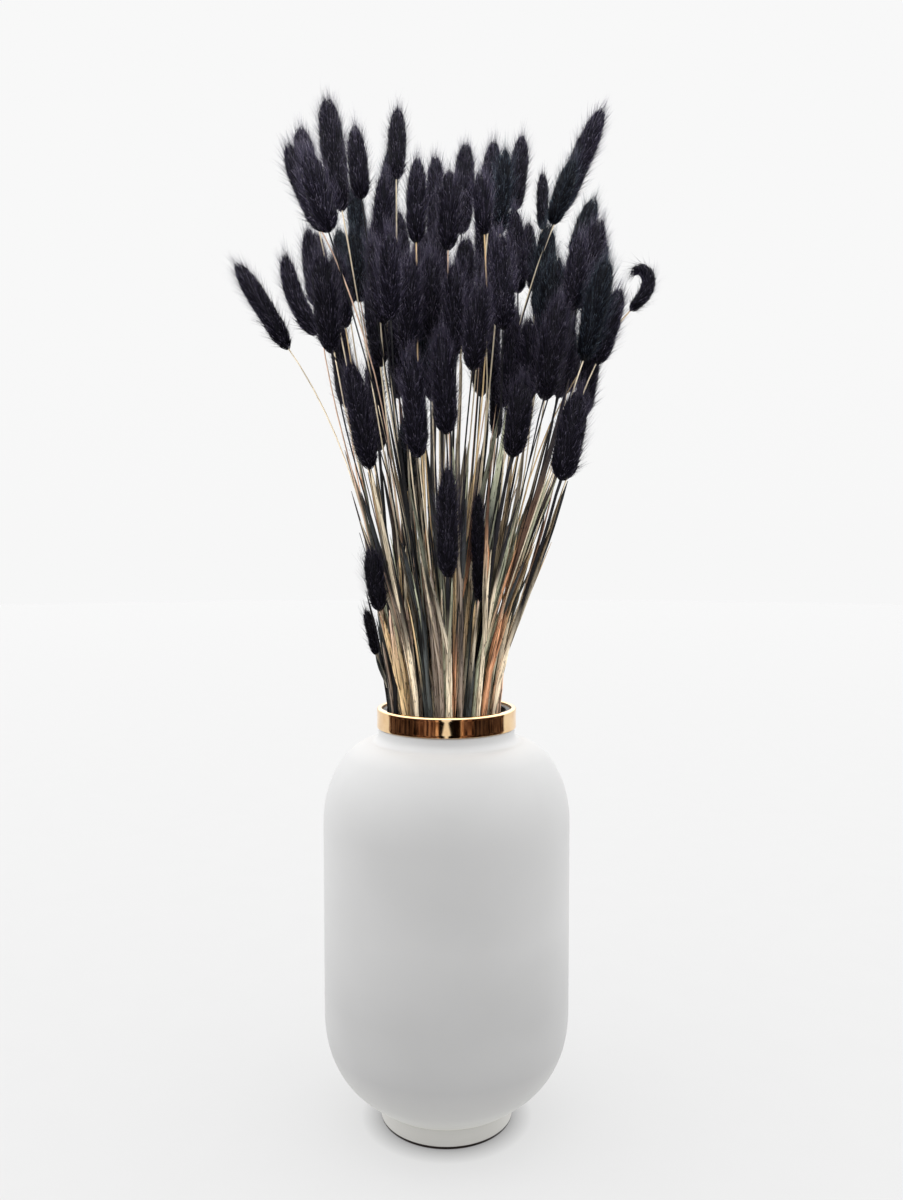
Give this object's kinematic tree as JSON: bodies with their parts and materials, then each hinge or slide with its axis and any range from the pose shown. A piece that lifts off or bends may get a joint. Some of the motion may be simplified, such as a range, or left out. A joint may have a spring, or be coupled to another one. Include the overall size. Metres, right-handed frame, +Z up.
{
  "type": "vase of dried bunny tail grass",
  "caption": "Round-shouldered white vase with a polished metal collar, filled with a tall fanned bunch of black-dyed dried bunny tail grass on straw-coloured stems.",
  "frame": {"origin": "centre of the vase's flat foot, on the surface that it stands on", "axes": "+Z up along the vase's axis, -Y towards the side that the picture shows, +X to that view's right"},
  "size_m": [0.25, 0.1648, 0.6265],
  "materials": {
    "glaze": "matte",
    "collar": "polished",
    "dried_grass": "matte"
  },
  "bodies": {
    "root": {"vase_body": "glaze", "collar_ring": "collar", "grass_sprig_01": "dried_grass", "grass_sprig_02": "dried_grass", "grass_sprig_03": "dried_grass", "grass_sprig_04": "dried_grass", "grass_sprig_05": "dried_grass", "grass_sprig_06": "dried_grass", "grass_sprig_07": "dried_grass", "grass_sprig_08": "dried_grass", "grass_sprig_09": "dried_grass", "grass_sprig_10": "dried_grass", "grass_sprig_11": "dried_grass", "grass_sprig_12": "dried_grass", "grass_sprig_13": "dried_grass", "grass_sprig_14": "dried_grass", "grass_sprig_15": "dried_grass", "grass_sprig_16": "dried_grass", "grass_sprig_17": "dried_grass", "grass_sprig_18": "dried_grass", "grass_sprig_19": "dried_grass", "grass_sprig_20": "dried_grass", "grass_sprig_21": "dried_grass", "grass_sprig_22": "dried_grass", "grass_sprig_23": "dried_grass", "grass_sprig_24": "dried_grass", "grass_sprig_25": "dried_grass", "grass_sprig_26": "dried_grass", "grass_sprig_27": "dried_grass", "grass_sprig_28": "dried_grass", "grass_sprig_29": "dried_grass", "grass_sprig_30": "dried_grass", "grass_sprig_31": "dried_grass", "grass_sprig_32": "dried_grass", "grass_sprig_33": "dried_grass", "grass_sprig_34": "dried_grass", "grass_sprig_35": "dried_grass", "grass_sprig_36": "dried_grass", "grass_sprig_37": "dried_grass", "grass_sprig_38": "dried_grass", "grass_sprig_39": "dried_grass", "grass_sprig_40": "dried_grass", "grass_sprig_41": "dried_grass", "grass_sprig_42": "dried_grass", "grass_sprig_43": "dried_grass", "grass_sprig_44": "dried_grass", "grass_sprig_45": "dried_grass", "grass_sprig_46": "dried_grass", "grass_sprig_47": "dried_grass", "grass_sprig_48": "dried_grass", "grass_sprig_49": "dried_grass", "grass_sprig_50": "dried_grass", "grass_sprig_51": "dried_grass", "grass_sprig_52": "dried_grass", "grass_sprig_53": "dried_grass", "grass_sprig_54": "dried_grass", "grass_sprig_55": "dried_grass", "grass_sprig_56": "dried_grass"}
  },
  "joints": []
}
